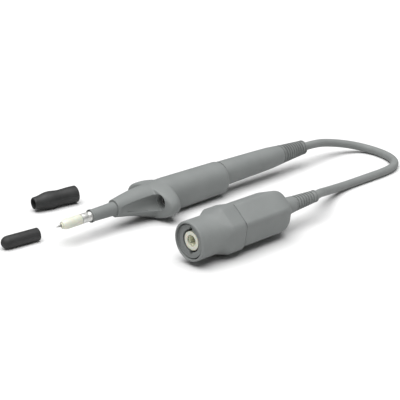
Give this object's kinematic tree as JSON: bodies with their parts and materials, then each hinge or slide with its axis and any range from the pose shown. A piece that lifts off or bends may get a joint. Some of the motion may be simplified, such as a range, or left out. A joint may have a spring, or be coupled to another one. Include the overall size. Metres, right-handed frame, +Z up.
{
  "type": "bnc test probe",
  "caption": "Hand test probe with a sprung needle tip, winged finger guard, lead socket, short coaxial cable, insulated bayonet plug and two loose tip covers.",
  "frame": {"origin": "bottom centre of the box round the probe handle and its two loose tip covers, without the cable and the plug, on the surface they lie on", "axes": "+X from the needle's point towards the cable end of the handle, +Y from the plug towards the loose covers, +Z up"},
  "size_m": [0.2099, 0.1047, 0.0217],
  "materials": {
    "grey_plastic": "satin moulded polyamide",
    "grey_rubber": "matt elastomer",
    "black_rubber": "smooth, slightly shiny elastomer",
    "white_plastic": "smooth warm white fluoropolymer",
    "bright_metal": "bright nickel plating",
    "brass": "gold-plated brass",
    "green_board": "solder mask"
  },
  "bodies": {
    "probe": {"housing": "grey_plastic", "nose_tube": "grey_plastic", "shield_tube": "bright_metal", "tip_insulator": "white_plastic", "needle_barrel": "brass", "needle_spring": "bright_metal", "core_wire": "brass", "lead_contact": "bright_metal", "shield_can": "bright_metal", "divider_board": "green_board", "tail_housing": "grey_plastic", "handle_boot": "grey_rubber", "handle_crimp": "bright_metal", "cable": "grey_rubber", "plug_body": "grey_plastic", "plug_core": "bright_metal", "mating_gasket": "black_rubber", "retaining_clip": "bright_metal", "wave_washer": "bright_metal", "white_tube": "white_plastic", "outer_contact": "brass", "centre_bead": "white_plastic", "centre_pin": "brass", "plug_boot": "grey_rubber", "plug_crimp": "bright_metal"},
    "needle": {"probe_needle": "bright_metal"},
    "coupling": {"coupling_sleeve": "grey_plastic", "bayonet_ring": "grey_plastic"},
    "cap": {"tip_cap": "black_rubber"},
    "sleeve": {"tip_sleeve": "black_rubber"}
  },
  "joints": [
    {"name": "needle_slide", "type": "slide", "parent": "probe", "child": "needle", "axis": [1, 0, 0], "range_m": [0, 0.0015], "stiffness_N_per_m": 400, "springref_m": -0.001, "deforming": ["needle_spring"]},
    {"name": "coupling_turn", "type": "hinge", "parent": "probe", "child": "coupling", "pos_m": [-0.0253, -0.0649, 0.01084], "axis": [1, 0, 0], "continuous": true},
    {"name": "cap_lift", "type": "slide", "parent": "probe", "child": "cap", "axis": [0, 0, 1], "range_m": [0, 0.03]},
    {"name": "sleeve_lift", "type": "slide", "parent": "probe", "child": "sleeve", "axis": [0, 0, 1], "range_m": [0, 0.03]}
  ]
}
